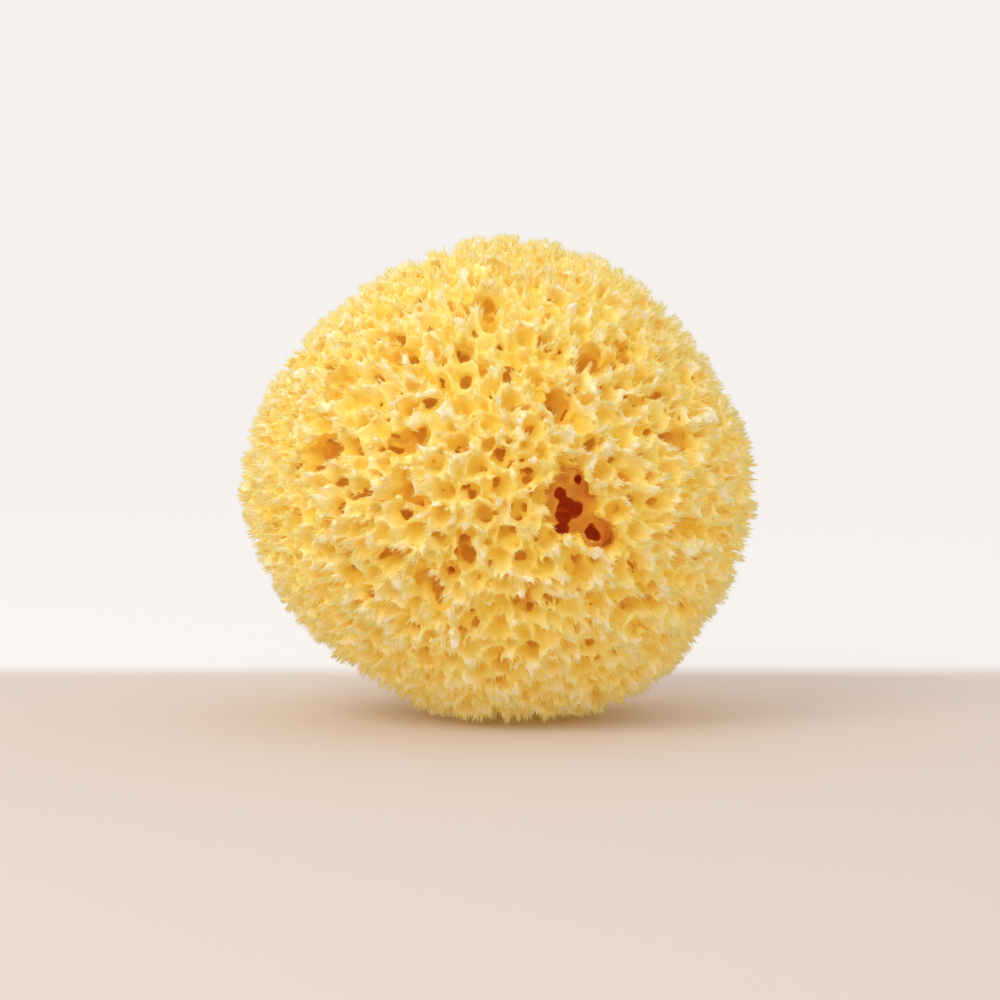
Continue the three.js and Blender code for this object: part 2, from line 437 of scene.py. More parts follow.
@dataclass
class SpongeMass:
    """The sponge's own mass: webs round thousands of cells, carved out of the CAD body."""

    skin: Envelope
    rng: np.random.Generator
    pitch: float = 0.5 * MM  # of the field's grid
    margin: int = 4  # grid cells of air round the box
    reach: float = 20 * MM  # how far under the skin the cells go
    taper: float = 1.4 * MM  # how much thinner webs are at the skin
    taper_depth: float = 5.5 * MM
    taper_power: float = 1.2
    ripple: float = 0.45 * MM
    ripple_width: float = 2.2 * MM
    teeth: float = 1.3 * MM
    teeth_width: float = 1.2 * MM
    tufts: tuple[tuple[float, float], ...] = (  # height and width
        (1.6 * MM, 6.0 * MM),
        (1.5 * MM, 2.2 * MM),
        (1.3 * MM, 1.15 * MM),
    )
    warps: tuple[tuple[float, float], ...] = ((0.9 * MM, 4.5 * MM), (0.35 * MM, 1.7 * MM))  # the same
    pit_check: float = 3.5 * MM  # depth at which the CAD body's pits are told from its skin
    pit_wider: float = 0.5 * MM
    pit_ripple: float = 1.5  # ripple and teeth of the pits, as shares of the webs'
    pit_teeth: float = 0.35
    pit_uneven: tuple[float, float] = (0.9 * MM, 3.6 * MM)
    mouth_teeth: float = 0.5  # the same for the main mouth
    opening_ripple: float = 1.6
    triangles: int = 1_250_000
    layers: tuple[CellLayer, ...] = (
        CellLayer(17000, (1.2 * MM, 2.7 * MM), (1.8 * MM, 4.4 * MM), 1.16, 1.8, 1.3),
        CellLayer(16000, (0.6 * MM, 1.2 * MM), (1.5 * MM, 5.0 * MM), 1.15, 2.0),
        CellLayer(12000, (1.7 * MM, 3.1 * MM), (6.5 * MM, 10.5 * MM), 0.92, 1.3),
        CellLayer(7000, (1.9 * MM, 3.0 * MM), (11.5 * MM, 15.5 * MM), 0.98, 1.2),
    )

    osculum: Osculum = Osculum()

    WALL = 4.0 * MM  # the field's largest value
    MERGE = 0.001 * MM  # corners nearer than this are one
    QUICK = 1.6
    ROUND_CELL = 2.6 * MM  # how far round a cell its distances are worked out
    BODY_BAND = 8  # grid cells to each side of the CAD body's surface that are measured
    PIT_SHARE = (0.55, 0.3)  # share of its depth from which a point counts as skin, and how soon it does
    NO_PIT = 3  # walls that a point of the skin is taken to lie from a pit
    AIR_NEAR = 3.0 * MM  # webs farther than this from any air stay whole
    OVER = 1.5 * MM  # how far over the skin the field is worked out
    NEAR_MOST = 1.3  # largest nearness to the skin
    FACING_LEAST = 0.5
    # share, width as a share of the widest, and offset of each part of a noise
    TEETH_PARTS = ((0.7, 1.0, 0.0), (0.45, 0.5, 31.7), (0.6, 2.6, 11.1))
    RIPPLE_PARTS = ((1.0, 1.0, 0.0), (0.5, 0.5, 17.3))
    TUFT_LOW = 0.38  # a crest is lowered by this share of a tuft's height, more or less by TUFT_SWING
    TUFT_SWING = 1.5
    TUFT_OFFSETS = (5.3, 7.9)  # of the first tuft's noise, and the step to the next
    WARP_OFFSETS = (3.7, 13.1)
    CALM = (1.3, 0.2)  # how the warp grows outwards from the main mouth, and its least share
    PIT_OFFSET = 23.1
    LEDGE_OFFSET = 2.9
    FOOT = 3.0 * MM  # height under which the warp fades, so that the foot stays flat
    BLOCK = 3  # grid cells to a side of the light's grid
    LIGHT_ROUNDS = 30
    THROUGH_WEB = 0.80  # light that one step through a web lets on; a step through air lets on all
    OUTSIDE = 0.5 * MM  # depth down to which the light is full

    def __post_init__(self) -> None:
        """Lays out the grid."""
        span = self.skin.high - self.skin.low
        self.shape = np.ceil(span / self.pitch).astype(int) + 2 * self.margin
        self.shape += -self.shape % self.BLOCK
        self.origin = self.skin.low - self.margin * self.pitch
        self.noise = LatticeNoise(self.rng)
        self.x, self.y, self.z = (
            (self.origin[k] + np.arange(self.shape[k]) * self.pitch).astype(np.float32) for k in range(3)
        )

    def _cell_field(self, cells: Cells) -> np.ndarray:
        """Measures the distance to the nearest cell's wall.

        Args:
            cells: the cells.

        Returns:
            A value for each grid point, below zero inside a cell.
        """
        distance = np.full(self.shape, self.WALL, np.float32)
        for place, radius, axis, stretch in zip(cells.places, cells.radii, cells.axes, cells.stretches):
            extent = radius * stretch + self.ROUND_CELL
            first = np.maximum(((place - extent - self.origin) / self.pitch).astype(int), 0)
            last = np.minimum(((place + extent - self.origin) / self.pitch).astype(int) + 2, self.shape)
            x = (self.x[first[0] : last[0]] - np.float32(place[0]))[:, None, None]
            y = (self.y[first[1] : last[1]] - np.float32(place[1]))[None, :, None]
            z = (self.z[first[2] : last[2]] - np.float32(place[2]))[None, None, :]
            along = x * np.float32(axis[0]) + y * np.float32(axis[1]) + z * np.float32(axis[2])
            squared = x * x + y * y + z * z + along * along * np.float32(1 / stretch**2 - 1)
            away = np.sqrt(np.maximum(squared, 0)) - np.float32(radius)
            block = distance[first[0] : last[0], first[1] : last[1], first[2] : last[2]]
            np.minimum(block, away, out=block)
        return distance

    def _depth_field(self) -> np.ndarray:
        """Depth under the skin at each grid point."""
        depth = np.empty(self.shape, np.float32)
        for i, x in enumerate(self.x):
            plane = np.stack(np.broadcast_arrays(x, self.y[:, None], self.z[None, :]), -1)
            depth[i] = self.skin.depth(plane)
        return depth

    def _body_field(self, node: bpy.types.Object) -> np.ndarray:
        """Measures how far inside the CAD body, with its pits, each grid point lies.

        Args:
            node: the CAD node.

        Returns:
            A value for each grid point, below zero outside.
        """
        bm = bmesh.new()
        bm.from_mesh(node.data)
        bmesh.ops.remove_doubles(bm, verts=bm.verts, dist=self.MERGE)
        points = np.array([v.co for v in bm.verts], np.float32)
        triangles = np.array([[v.index for v in f.verts] for f in bm.faces], np.uint32)
        bm.free()
        cell = openvdb.createLinearTransform(voxelSize=1.0)
        places = ((points - self.origin) / self.pitch).astype(np.float32)
        solid = openvdb.FloatGrid.createLevelSetFromPolygons(
            places, triangles=triangles, transform=cell, halfWidth=self.BODY_BAND
        )
        values = np.empty(self.shape, np.float32)
        solid.copyToArray(values)
        return -values * np.float32(self.pitch)

    def _grid_index(self, points: np.ndarray) -> tuple[np.ndarray, ...]:
        """The nearest grid point to each point, as three index arrays."""
        index = np.rint((points - self.origin) / self.pitch).astype(np.int32)
        index = np.clip(index, 0, self.shape - 1)
        return tuple(index.T)

    def _pit_distance(
        self, body: np.ndarray, arm: np.ndarray, radius: np.ndarray, depth: np.ndarray
    ) -> np.ndarray:
        """Distance to the CAD body's pits, which open straight out to the skin.

        Args:
            body: the CAD body's field.
            arm: unit directions from the middle to the points.
            radius: the skin's radius there.
            depth: the points' depths.

        Returns:
            The distances, far above WALL where no pit is near.
        """
        under = np.maximum(depth, self.pit_check)
        inward = self.skin.middle + arm * (radius - under)[:, None]
        distance = body[self._grid_index(inward)]
        first, span = self.PIT_SHARE
        skin_share = np.clip((distance / under - first) / span, 0, 1)
        return distance + skin_share * self.NO_PIT * self.WALL

    def _parts(
        self, points: np.ndarray, width: float, parts: tuple[tuple[float, float, float], ...]
    ) -> np.ndarray:
        """Adds up noises of several widths.

        Args:
            points: N by 3 positions.
            width: the width that the parts' widths are shares of.
            parts: share, width and offset of each.

        Returns:
            N values.
        """
        value = np.zeros(len(points), np.float32)
        for share, narrower, offset in parts:
            value += share * self.noise.at(points, width * narrower, offset)
        return value

    def _crest(self, tip: np.ndarray, under: np.ndarray) -> np.ndarray:
        """Measures the depth under the tufted crest.

        Args:
            tip: where the growth through each point meets the skin.
            under: the points' depths under the skin.

        Returns:
            N values, below zero over the crest.
        """
        first, step = self.TUFT_OFFSETS
        crest = under
        for number, (height, width) in enumerate(self.tufts):
            low = self.TUFT_LOW - self.TUFT_SWING * self.noise.at(tip, width, first + step * number)
            crest = crest - height * np.clip(low, 0, self.NEAR_MOST)
        return crest

    def carve(self, node: bpy.types.Object) -> None:
        """Fills self.field, above zero in the webs and below zero in the air, and then self.light.

        Args:
            node: the CAD node, whose pits are carved too.
        """
        cells = Cells()
        for layer in self.layers:
            log.info("layer of %d cells", cells.throw(layer, self.skin, self.rng))
        distance = self._cell_field(cells)
        mouth = self._cell_field(self.osculum.cells(self.skin, inner=False))
        opening = self._cell_field(self.osculum.cells(self.skin, inner=True))
        depth = self._depth_field()
        body = self._body_field(node)
        self.mouth = np.minimum(mouth, opening)
        near_air = np.minimum(distance, self.mouth) < self.AIR_NEAR + self.taper
        inside = (depth > -self.OVER) & (depth < self.reach) & near_air
        index = np.nonzero(inside)
        points = np.stack([self.x[index[0]], self.y[index[1]], self.z[index[2]]], -1)
        under = depth[index]
        arm = points - self.skin.middle
        length = np.linalg.norm(arm, axis=1)
        arm /= length[:, None]
        pits = self._pit_distance(body, arm, length + under, under)
        near = np.clip(1 - under / self.taper_depth, 0, self.NEAR_MOST)
        points = points.astype(np.float32)
        # where the growth through a point meets the skin: what depends on it runs along the growth
        way = self.skin.growth(points)
        facing = np.maximum((way * arm).sum(axis=1), self.FACING_LEAST)
        tip = (points + way * (under / facing)[:, None]).astype(np.float32)
        teeth = self._parts(tip, self.teeth_width, self.TEETH_PARTS)
        ripple = self._parts(points, self.ripple_width, self.RIPPLE_PARTS)
        ripple *= self.ripple
        frayed = ripple - self.taper * near**self.taper_power + self.teeth * teeth * near
        height, width = self.pit_uneven
        pits += (
            self.pit_ripple * ripple
            + self.pit_teeth * self.teeth * teeth * near
            + height * self.noise.at(points, width, self.PIT_OFFSET)
        )
        wall = np.minimum(distance[index] + frayed, pits - self.pit_wider)
        height, width = self.osculum.uneven
        ledge = under - self.osculum.ledge - height * self.noise.at(points, width, self.LEDGE_OFFSET)
        wall = np.minimum(wall, mouth[index] + ripple + self.mouth_teeth * self.teeth * teeth * near)
        wall = np.where(self.osculum.off(points) < 1, np.maximum(wall, ledge), wall)
        wall = np.minimum(wall, opening[index] + self.opening_ripple * ripple)
        self.field = np.minimum(distance, depth)
        self.field[index] = np.minimum(wall, self._crest(tip, under))
        self.field = np.minimum(self.field, self.z[None, None, :])
        self._spread_light(depth)

    def _spread_light(self, depth: np.ndarray) -> None:
        """Lets light soak in through cells and webs, on a coarse grid kept in self.light, which is painted
        into the colour as shade.

        Args:
            depth: depth under the skin at each grid point.
        """
        b = self.BLOCK
        coarse = self.shape // b
        split = (coarse[0], b, coarse[1], b, coarse[2], b)
        air = (self.field < 0).reshape(split).mean(axis=(1, 3, 5)).astype(np.float32)
        outside = depth[b // 2 :: b, b // 2 :: b, b // 2 :: b] < self.OUTSIDE
        passing = self.THROUGH_WEB + (1 - self.THROUGH_WEB) * air
        light = outside.astype(np.float32)
        for _ in range(self.LIGHT_ROUNDS):
            sum_ = sum(np.roll(light, step, axis) for axis in range(3) for step in (-1, 1))
            light = np.where(outside, 1, sum_ / 6 * passing).astype(np.float32)
        self.light = light

    def light_at(self, points: np.ndarray) -> np.ndarray:
        """Reads how much light soaks in.

        Args:
            points: N by 3 positions.

        Returns:
            N values from 0 to 1.
        """
        step = self.pitch * self.BLOCK
        first = self.origin + self.pitch * (self.BLOCK // 2)
        place = (points - first) / step
        low = np.clip(np.floor(place).astype(int), 0, np.array(self.light.shape) - 2)
        part = np.clip(place - low, 0, 1)
        value = np.zeros(len(points))
        for corner in np.ndindex(2, 2, 2):
            weight = np.prod(np.where(corner, part, 1 - part), axis=1)
            at = low + np.array(corner)
            value += weight * self.light[at[:, 0], at[:, 1], at[:, 2]]
        return value

    def _warped(self, points: np.ndarray) -> np.ndarray:
        """Pushes points a little, so that no cell stays round. The foot stays flat.

        Args:
            points: N by 3 positions.

        Returns:
            The new positions.
        """
        push = np.zeros_like(points)
        first, step = self.WARP_OFFSETS
        for number, (far, width) in enumerate(self.warps):
            for axis in range(3):
                offset = first + step * (3 * number + axis)
                push[:, axis] += np.float32(far) * self.noise.at(points, width, offset)
        free = np.clip(points[:, 2] / np.float32(self.FOOT), 0, 1)
        push[:, 2] *= free
        slope, start = self.CALM
        push *= np.clip(slope * self.osculum.off(points) - start, start, 1)[:, None]
        return points + push

    def mouth_distance(self, points: np.ndarray) -> np.ndarray:
        """How far points lie from the main mouth and its openings."""
        return self.mouth[self._grid_index(points)]

    def polygons(self) -> bpy.types.Mesh:
        """The field's surface as one mesh, thinned where it is smooth."""
        grid = openvdb.FloatGrid(background=1.0)
        grid.copyFromArray(np.clip(-self.field / np.float32(self.pitch), -3, 3))
        points, _, quads = grid.convertToPolygons(isovalue=0.0, adaptivity=0.0)
        # closed cells that nothing can see and loose crumbs are left out
        kept = largest_part(len(points), quads)
        number = np.cumsum(kept) - 1
        quads = number[quads[kept[quads[:, 0]]]]
        points = (points[kept] * self.pitch + self.origin).astype(np.float32)
        mesh = fill_mesh("mass", self._warped(points), quads)
        log.info("field surface: %d quads", len(quads))
        whole = new_object("mass", mesh)
        thin = whole.modifiers.new("thin", "DECIMATE")
        thin.ratio = min(1.0, self.triangles / (2 * len(quads)))
        graph = bpy.context.evaluated_depsgraph_get()
        thinned = bpy.data.meshes.new_from_object(whole.evaluated_get(graph))
        bpy.data.objects.remove(whole)
        bpy.data.meshes.remove(mesh)
        log.info("thinned: %d faces", len(thinned.polygons))
        return thinned


# ---------- the sectors ----------


class Cut(Enum):
    """A plane through the middle that parts the mass, with the names of its two sides."""

    DEPTH = (1, "front", "back")
    WIDTH = (0, "left", "right")
    HEIGHT = (2, "lower", "upper")

    def __init__(self, axis: int, low: str, high: str) -> None:
        """Keeps the axis that the plane is square to and the sides' names."""
        self.axis = axis
        self.sides = (low, high)


def half_of(whole: bmesh.types.BMesh, cut: Cut, at: float, high: bool) -> bmesh.types.BMesh:
    """One side of a closed mesh, closed again by a flat face on the cut.

    Args:
        whole: the mesh, which stays as it is.
        cut: the plane's axis.
        at: the plane's place on it.
        high: whether the side above the plane is wanted.

    Returns:
        A new mesh.
    """
    half = whole.copy()
    normal = Vector((0, 0, 0))
    normal[cut.axis] = -1.0 if high else 1.0
    place = Vector((0, 0, 0))
    place[cut.axis] = at
    geometry = half.verts[:] + half.edges[:] + half.faces[:]
    result = bmesh.ops.bisect_plane(
        half, geom=geometry, dist=1e-7, plane_co=place, plane_no=normal, clear_outer=True
    )
    rim = [e for e in result["geom_cut"] if isinstance(e, bmesh.types.BMEdge)]
    bmesh.ops.triangle_fill(half, use_beauty=False, use_dissolve=False, edges=rim, normal=normal)
    for edge in rim:
        edge.smooth = False
    return half


# ---------- the fibres ----------


@dataclass
class Fringe:
    """Fine fibres and torn shreds that stand on the webs' crests."""

    mass: SpongeMass
    rng: np.random.Generator
    count: int = 120000
    bundles: int = 3
    name: str = "fibres"
    length: tuple[float, float] = (0.9 * MM, 2.9 * MM)
    width: tuple[float, float] = (0.16 * MM, 0.5 * MM)
    root: float = 0.5 * MM  # how deep a fibre starts in its web
    spread: float = 0.2
    within: float = 6.0 * MM  # depth under the skin at which the last ones start
    clumps: float = 0.0  # how much they gather in groups, from 0 to 1
    clump_width: float = 3.0 * MM
    lean: float = 0.3  # how much they follow the web's normal
    over: float = 1.2 * MM  # how far they may reach over the skin
    foot: float = 1.5 * MM  # none start under this height

    SMALL_SHARE = 1.5  # above 1 there are more short and thin ones
    FLAT = (0.4, 1.0)  # thickness as a share of the width
    FLOOR = 0.02 * MM  # lowest place of a tip
    NEAR = 1.15  # above 1 the chance stays full for a little under the skin
    PLAIN_CHANCE = 0.1  # chance of a place that is no crest
    CREST = (0.12, 0.2)  # sharpness at which a crest starts, and how much more counts
    CLUMP_OFFSET = 41.3
    CLUMP_SWING = 3

    def template(self) -> tuple[np.ndarray, np.ndarray]:
        """Makes one fibre along +Z, 1 long and 1 wide.

        Returns:
            Its points and its triangles.
        """
        bm = bmesh.new()
        bmesh.ops.create_cone(
            bm, cap_ends=True, segments=3, radius1=0.5, radius2=0.0, depth=1.0,
            matrix=Matrix.Translation((0, 0, 0.5)),
        )
        bmesh.ops.remove_doubles(bm, verts=bm.verts, dist=1e-4)
        bm.verts.ensure_lookup_table()
        points = np.array([v.co for v in bm.verts])
        faces = np.array([[v.index for v in f.verts] for f in bm.faces])
        bm.free()
        return points, faces

    def roots(self, mesh: bpy.types.Mesh) -> tuple[np.ndarray, np.ndarray]:
        """Chooses crest points of the mass where fibres start.

        Args:
            mesh: the mass.

        Returns:
            The points, and the normals there.
        """
        points, normals = vertex_array(mesh), vertex_array(mesh, "normal")
        ends = np.empty(len(mesh.edges) * 2, np.int32)
        mesh.edges.foreach_get("vertices", ends)
        a, b = ends.reshape(-1, 2).T
        slope = ((points[b] - points[a]) * normals[a]).sum(1)
        back = ((points[a] - points[b]) * normals[b]).sum(1)
        span = np.linalg.norm(points[b] - points[a], axis=1)
        n = len(points)
        fall = np.bincount(a, slope, n) + np.bincount(b, back, n)
        reach = np.bincount(a, span, n) + np.bincount(b, span, n)
        sharp = -fall / np.maximum(reach, TINY)
        depth = self.mass.skin.depth(points)
        first, most = self.CREST
        chance = self.PLAIN_CHANCE + np.sqrt(np.clip(sharp - first, 0, most))
        chance = chance * np.clip(self.NEAR - depth / self.within, 0, 1)
        group = self.mass.noise.at(points, self.clump_width, self.CLUMP_OFFSET)
        chance *= np.clip(1 - self.clumps + self.clumps * self.CLUMP_SWING * group, 0, 1)
        chance[points[:, 2] < self.foot] = 0
        pick = self.rng.choice(n, self.count, p=chance / chance.sum())
        return points[pick].astype(float), normals[pick].astype(float)

    def _sizes(self, span: tuple[float, float], count: int) -> np.ndarray:
        """A number of sizes between two, more of them small."""
        return span[0] + (span[1] - span[0]) * self.rng.random(count) ** self.SMALL_SHARE

    def grow(self, mesh: bpy.types.Mesh) -> list[bpy.types.Mesh]:
        """Grows the fibres on the mass.

        Args:
            mesh: the mass.

        Returns:
            The fibres, as a few joined meshes.
        """
        roots, normals = self.roots(mesh)
        way = self.mass.skin.growth(roots) + self.lean * normals
        way = way + self.rng.normal(scale=self.spread, size=roots.shape)
        way /= np.linalg.norm(way, axis=1)[:, None]
        side = np.cross(way, self.rng.normal(size=way.shape))
        side /= np.linalg.norm(side, axis=1)[:, None]
        other = np.cross(way, side)
        room = np.maximum(self.mass.skin.depth(roots), 0) + self.over
        length = np.minimum(self._sizes(self.length, len(roots)), self.root + room)
        width = self._sizes(self.width, len(roots))
        flat = self.rng.uniform(*self.FLAT, len(roots))
        points, faces = self.template()
        start = roots - way * self.root
        place = start[:, None, :] + way[:, None, :] * (points[None, :, 2] * length[:, None])[..., None]
        place += side[:, None, :] * (points[None, :, 0] * width[:, None])[..., None]
        place += other[:, None, :] * (points[None, :, 1] * (width * flat)[:, None])[..., None]
        place[..., 2] = np.maximum(place[..., 2], self.FLOOR)
        meshes = []
        for k, part in enumerate(np.array_split(np.arange(len(roots)), self.bundles)):
            shift = np.arange(len(part))[:, None, None] * len(points)
            joined = (faces[None] + shift).reshape(-1, 3)
            meshes.append(fill_mesh(f"{self.name}_{k + 1}", place[part].reshape(-1, 3), joined))
        return meshes


# ---------- finishes ----------


def math_node(tree: bpy.types.NodeTree, kind: str, a: object, b: object) -> bpy.types.NodeSocket:
    """Adds a Math node to a tree.

    Args:
        tree: the node tree.
        kind: the operation.
        a: the first input, a socket or a number.
        b: the second input.

    Returns:
        The result's socket.
    """
    node = tree.nodes.new("ShaderNodeMath")
    node.operation = kind
    for socket, value in zip(node.inputs, (a, b)):
        if isinstance(value, bpy.types.NodeSocket):
            tree.links.new(value, socket)
        else:
            socket.default_value = value
    return node.outputs[0]


def group_socket(tree: bpy.types.NodeTree, name: str, kind: str, out: bool, default: float = 0.0) -> None:
    """Adds a named input or output to a node group."""
    socket = tree.interface.new_socket(name, in_out="OUTPUT" if out else "INPUT", socket_type=kind)
    if kind == "NodeSocketFloat":
        socket.default_value = default


class Tone:
    """The node group that colours fibre by its painted shade, unevenly over the surface, with tiny dark
    specks, and gives its painted glow.
    """

    NAME = "sponge_tone"
    # colours along the painted shade, from cream at the tips to red-brown deep inside
    STAGES = (
        (0.00, (0.95, 0.85, 0.67)),
        (0.16, (0.945, 0.835, 0.60)),
        (0.36, (0.935, 0.785, 0.30)),
        (0.58, (0.87, 0.635, 0.095)),
        (0.80, (0.78, 0.43, 0.05)),
        (1.00, (0.52, 0.07, 0.01)),
    )
    PAINTED_GLOW_FROM = -0.3  # the painted shade value at which the painted glow starts
    CLOUDS = ((14 * MM, 0.6), (2.6 * MM, 0.5))  # width and share of each unevenness
    CLOUD_DETAIL = 2.0
    SPECK_APART = 3.2 * MM
    SPECK_SIZE = 0.045  # as a share of SPECK_APART
    SPECK_RARE = 0.2  # share of the places that have one
    SPECK_STRENGTH = 0.8
    SPECK_COLOUR = (0.16, 0.07, 0.03, 1)

    @classmethod
    def group(cls) -> bpy.types.NodeTree:
        """Builds the group once.

        Returns:
            The group. Its inputs are the painted shade, the place and the unevenness, its outputs the
            colour and the painted glow.
        """
        if cls.NAME in bpy.data.node_groups:
            return bpy.data.node_groups[cls.NAME]
        tree = bpy.data.node_groups.new(cls.NAME, "ShaderNodeTree")
        group_socket(tree, "Stain", "NodeSocketFloat", out=False)
        group_socket(tree, "Place", "NodeSocketVector", out=False)
        group_socket(tree, "Uneven", "NodeSocketFloat", out=False, default=0.2)
        group_socket(tree, "Color", "NodeSocketColor", out=True)
        group_socket(tree, "Glow", "NodeSocketColor", out=True)
        nodes, links = tree.nodes, tree.links
        given = nodes.new("NodeGroupInput")
        result = nodes.new("NodeGroupOutput")
        stain = given.outputs["Stain"]
        # random unevenness of tone is added to the painted shade
        for width, share in cls.CLOUDS:
            cloud = nodes.new("ShaderNodeTexNoise")
            cloud.inputs["Scale"].default_value = 1 / width
            cloud.inputs["Detail"].default_value = cls.CLOUD_DETAIL
            links.new(given.outputs["Place"], cloud.inputs["Vector"])
            centred = math_node(tree, "SUBTRACT", cloud.outputs["Fac"], 0.5)
            weighted = math_node(tree, "MULTIPLY", centred, share)
            scaled = math_node(tree, "MULTIPLY", weighted, given.outputs["Uneven"])
            stain = math_node(tree, "ADD", stain, scaled)
        ramp = nodes.new("ShaderNodeValToRGB")
        while len(ramp.color_ramp.elements) < len(cls.STAGES):
            ramp.color_ramp.elements.new(0.5)
        for element, (place, colour) in zip(ramp.color_ramp.elements, cls.STAGES):
            element.position = place
            element.color = (*colour, 1)
        links.new(stain, ramp.inputs["Fac"])
        speck = nodes.new("ShaderNodeTexVoronoi")
        speck.inputs["Scale"].default_value = 1 / cls.SPECK_APART
        links.new(given.outputs["Place"], speck.inputs["Vector"])
        small = math_node(tree, "LESS_THAN", speck.outputs["Distance"], cls.SPECK_SIZE)
        chosen = nodes.new("ShaderNodeSeparateColor")
        links.new(speck.outputs["Color"], chosen.inputs["Color"])
        rare = math_node(tree, "LESS_THAN", chosen.outputs["Red"], cls.SPECK_RARE)
        dark = math_node(tree, "MULTIPLY", math_node(tree, "MULTIPLY", small, rare), cls.SPECK_STRENGTH)
        mix = nodes.new("ShaderNodeMix")
        mix.data_type = "RGBA"
        mix.inputs["B"].default_value = cls.SPECK_COLOUR
        links.new(dark, mix.inputs["Factor"])
        links.new(ramp.outputs["Color"], mix.inputs["A"])
        links.new(mix.outputs["Result"], result.inputs["Color"])
        # painted glow: emission in the ramp's colour, stronger as the painted shade grows, standing in for
        # light let through the webs
        inner = nodes.new("ShaderNodeMapRange")
        inner.inputs["From Min"].default_value = cls.PAINTED_GLOW_FROM
        inner.inputs["From Max"].default_value = 1.0
        links.new(stain, inner.inputs["Value"])
        painted_glow = nodes.new("ShaderNodeMix")
        painted_glow.data_type = "RGBA"
        painted_glow.inputs["A"].default_value = (0, 0, 0, 1)
        links.new(inner.outputs["Result"], painted_glow.inputs["Factor"])
        links.new(ramp.outputs["Color"], painted_glow.inputs["B"])
        links.new(painted_glow.outputs["Result"], result.inputs["Glow"])
        return tree


class Grain:
    """The node group for the fibrous grain of a web: a height that feeds a Bump node."""

    NAME = "fibre_grain"
    DETAIL = 3.0
    DISTORTION = 1.2

    @classmethod
    def group(cls) -> bpy.types.NodeTree:
        """Builds the group once.

        Returns:
            The group. Its inputs are Place and Width, its output is Height.
        """
        if cls.NAME in bpy.data.node_groups:
            return bpy.data.node_groups[cls.NAME]
        tree = bpy.data.node_groups.new(cls.NAME, "ShaderNodeTree")
        group_socket(tree, "Place", "NodeSocketVector", out=False)
        group_socket(tree, "Width", "NodeSocketFloat", out=False, default=0.5 * MM)
        group_socket(tree, "Height", "NodeSocketFloat", out=True)
        nodes, links = tree.nodes, tree.links
        given = nodes.new("NodeGroupInput")
        result = nodes.new("NodeGroupOutput")
        scale = math_node(tree, "DIVIDE", 1.0, given.outputs["Width"])
        strands = nodes.new("ShaderNodeTexNoise")
        strands.inputs["Detail"].default_value = cls.DETAIL
        strands.inputs["Distortion"].default_value = cls.DISTORTION
        links.new(given.outputs["Place"], strands.inputs["Vector"])
        links.new(scale, strands.inputs["Scale"])
        links.new(strands.outputs["Fac"], result.inputs["Height"])
        return tree


@dataclass(frozen=True)
class DryFibre:
    """The finish of dry sponge fibre: painted shade makes it cream at the tips, gold in the cells and
    red-brown deep inside.
    """

    name: str = "dry_sponge_fibre"
    roughness: float = 0.8
    specular: float = 0.1
    scatter: float = 1.0
    scatter_scale: float = 0.9 * MM
    scatter_colour: tuple[float, float, float] = (1.0, 0.75, 0.35)
    grain_width: float = 0.55 * MM
    grain_height: float = 0.12 * MM
    # emission strength of the painted glow, which lifts the shade
    painted_glow: float = 0.17

    def material(self) -> bpy.types.Material:
        """Builds the material.

        Returns:
            The material, which reads the stain that each piece carries.
        """
        material = bpy.data.materials.new(self.name)
        material.use_nodes = True
        nodes, links = material.node_tree.nodes, material.node_tree.links
        shader = nodes["Principled BSDF"]
        stain = nodes.new("ShaderNodeAttribute")
        stain.attribute_name = "stain"
        place = nodes.new("ShaderNodeTexCoord").outputs["Object"]
        tone = nodes.new("ShaderNodeGroup")
        tone.node_tree = Tone.group()
        links.new(stain.outputs["Fac"], tone.inputs["Stain"])
        links.new(place, tone.inputs["Place"])
        links.new(tone.outputs["Color"], shader.inputs["Base Color"])
        # painted glow: the material emits light though it is no lamp
        links.new(tone.outputs["Glow"], shader.inputs["Emission Color"])
        shader.inputs["Emission Strength"].default_value = self.painted_glow
        grain = nodes.new("ShaderNodeGroup")
        grain.node_tree = Grain.group()
        grain.inputs["Width"].default_value = self.grain_width
        links.new(place, grain.inputs["Place"])
        bump = nodes.new("ShaderNodeBump")
        bump.inputs["Distance"].default_value = self.grain_height
        links.new(grain.outputs["Height"], bump.inputs["Height"])
        links.new(bump.outputs["Normal"], shader.inputs["Normal"])
        shader.inputs["Roughness"].default_value = self.roughness
        shader.inputs["Specular IOR Level"].default_value = self.specular
        shader.inputs["Subsurface Weight"].default_value = self.scatter
        shader.inputs["Subsurface Radius"].default_value = self.scatter_colour
        shader.inputs["Subsurface Scale"].default_value = self.scatter_scale
        return material


# ---------- the sponge ----------


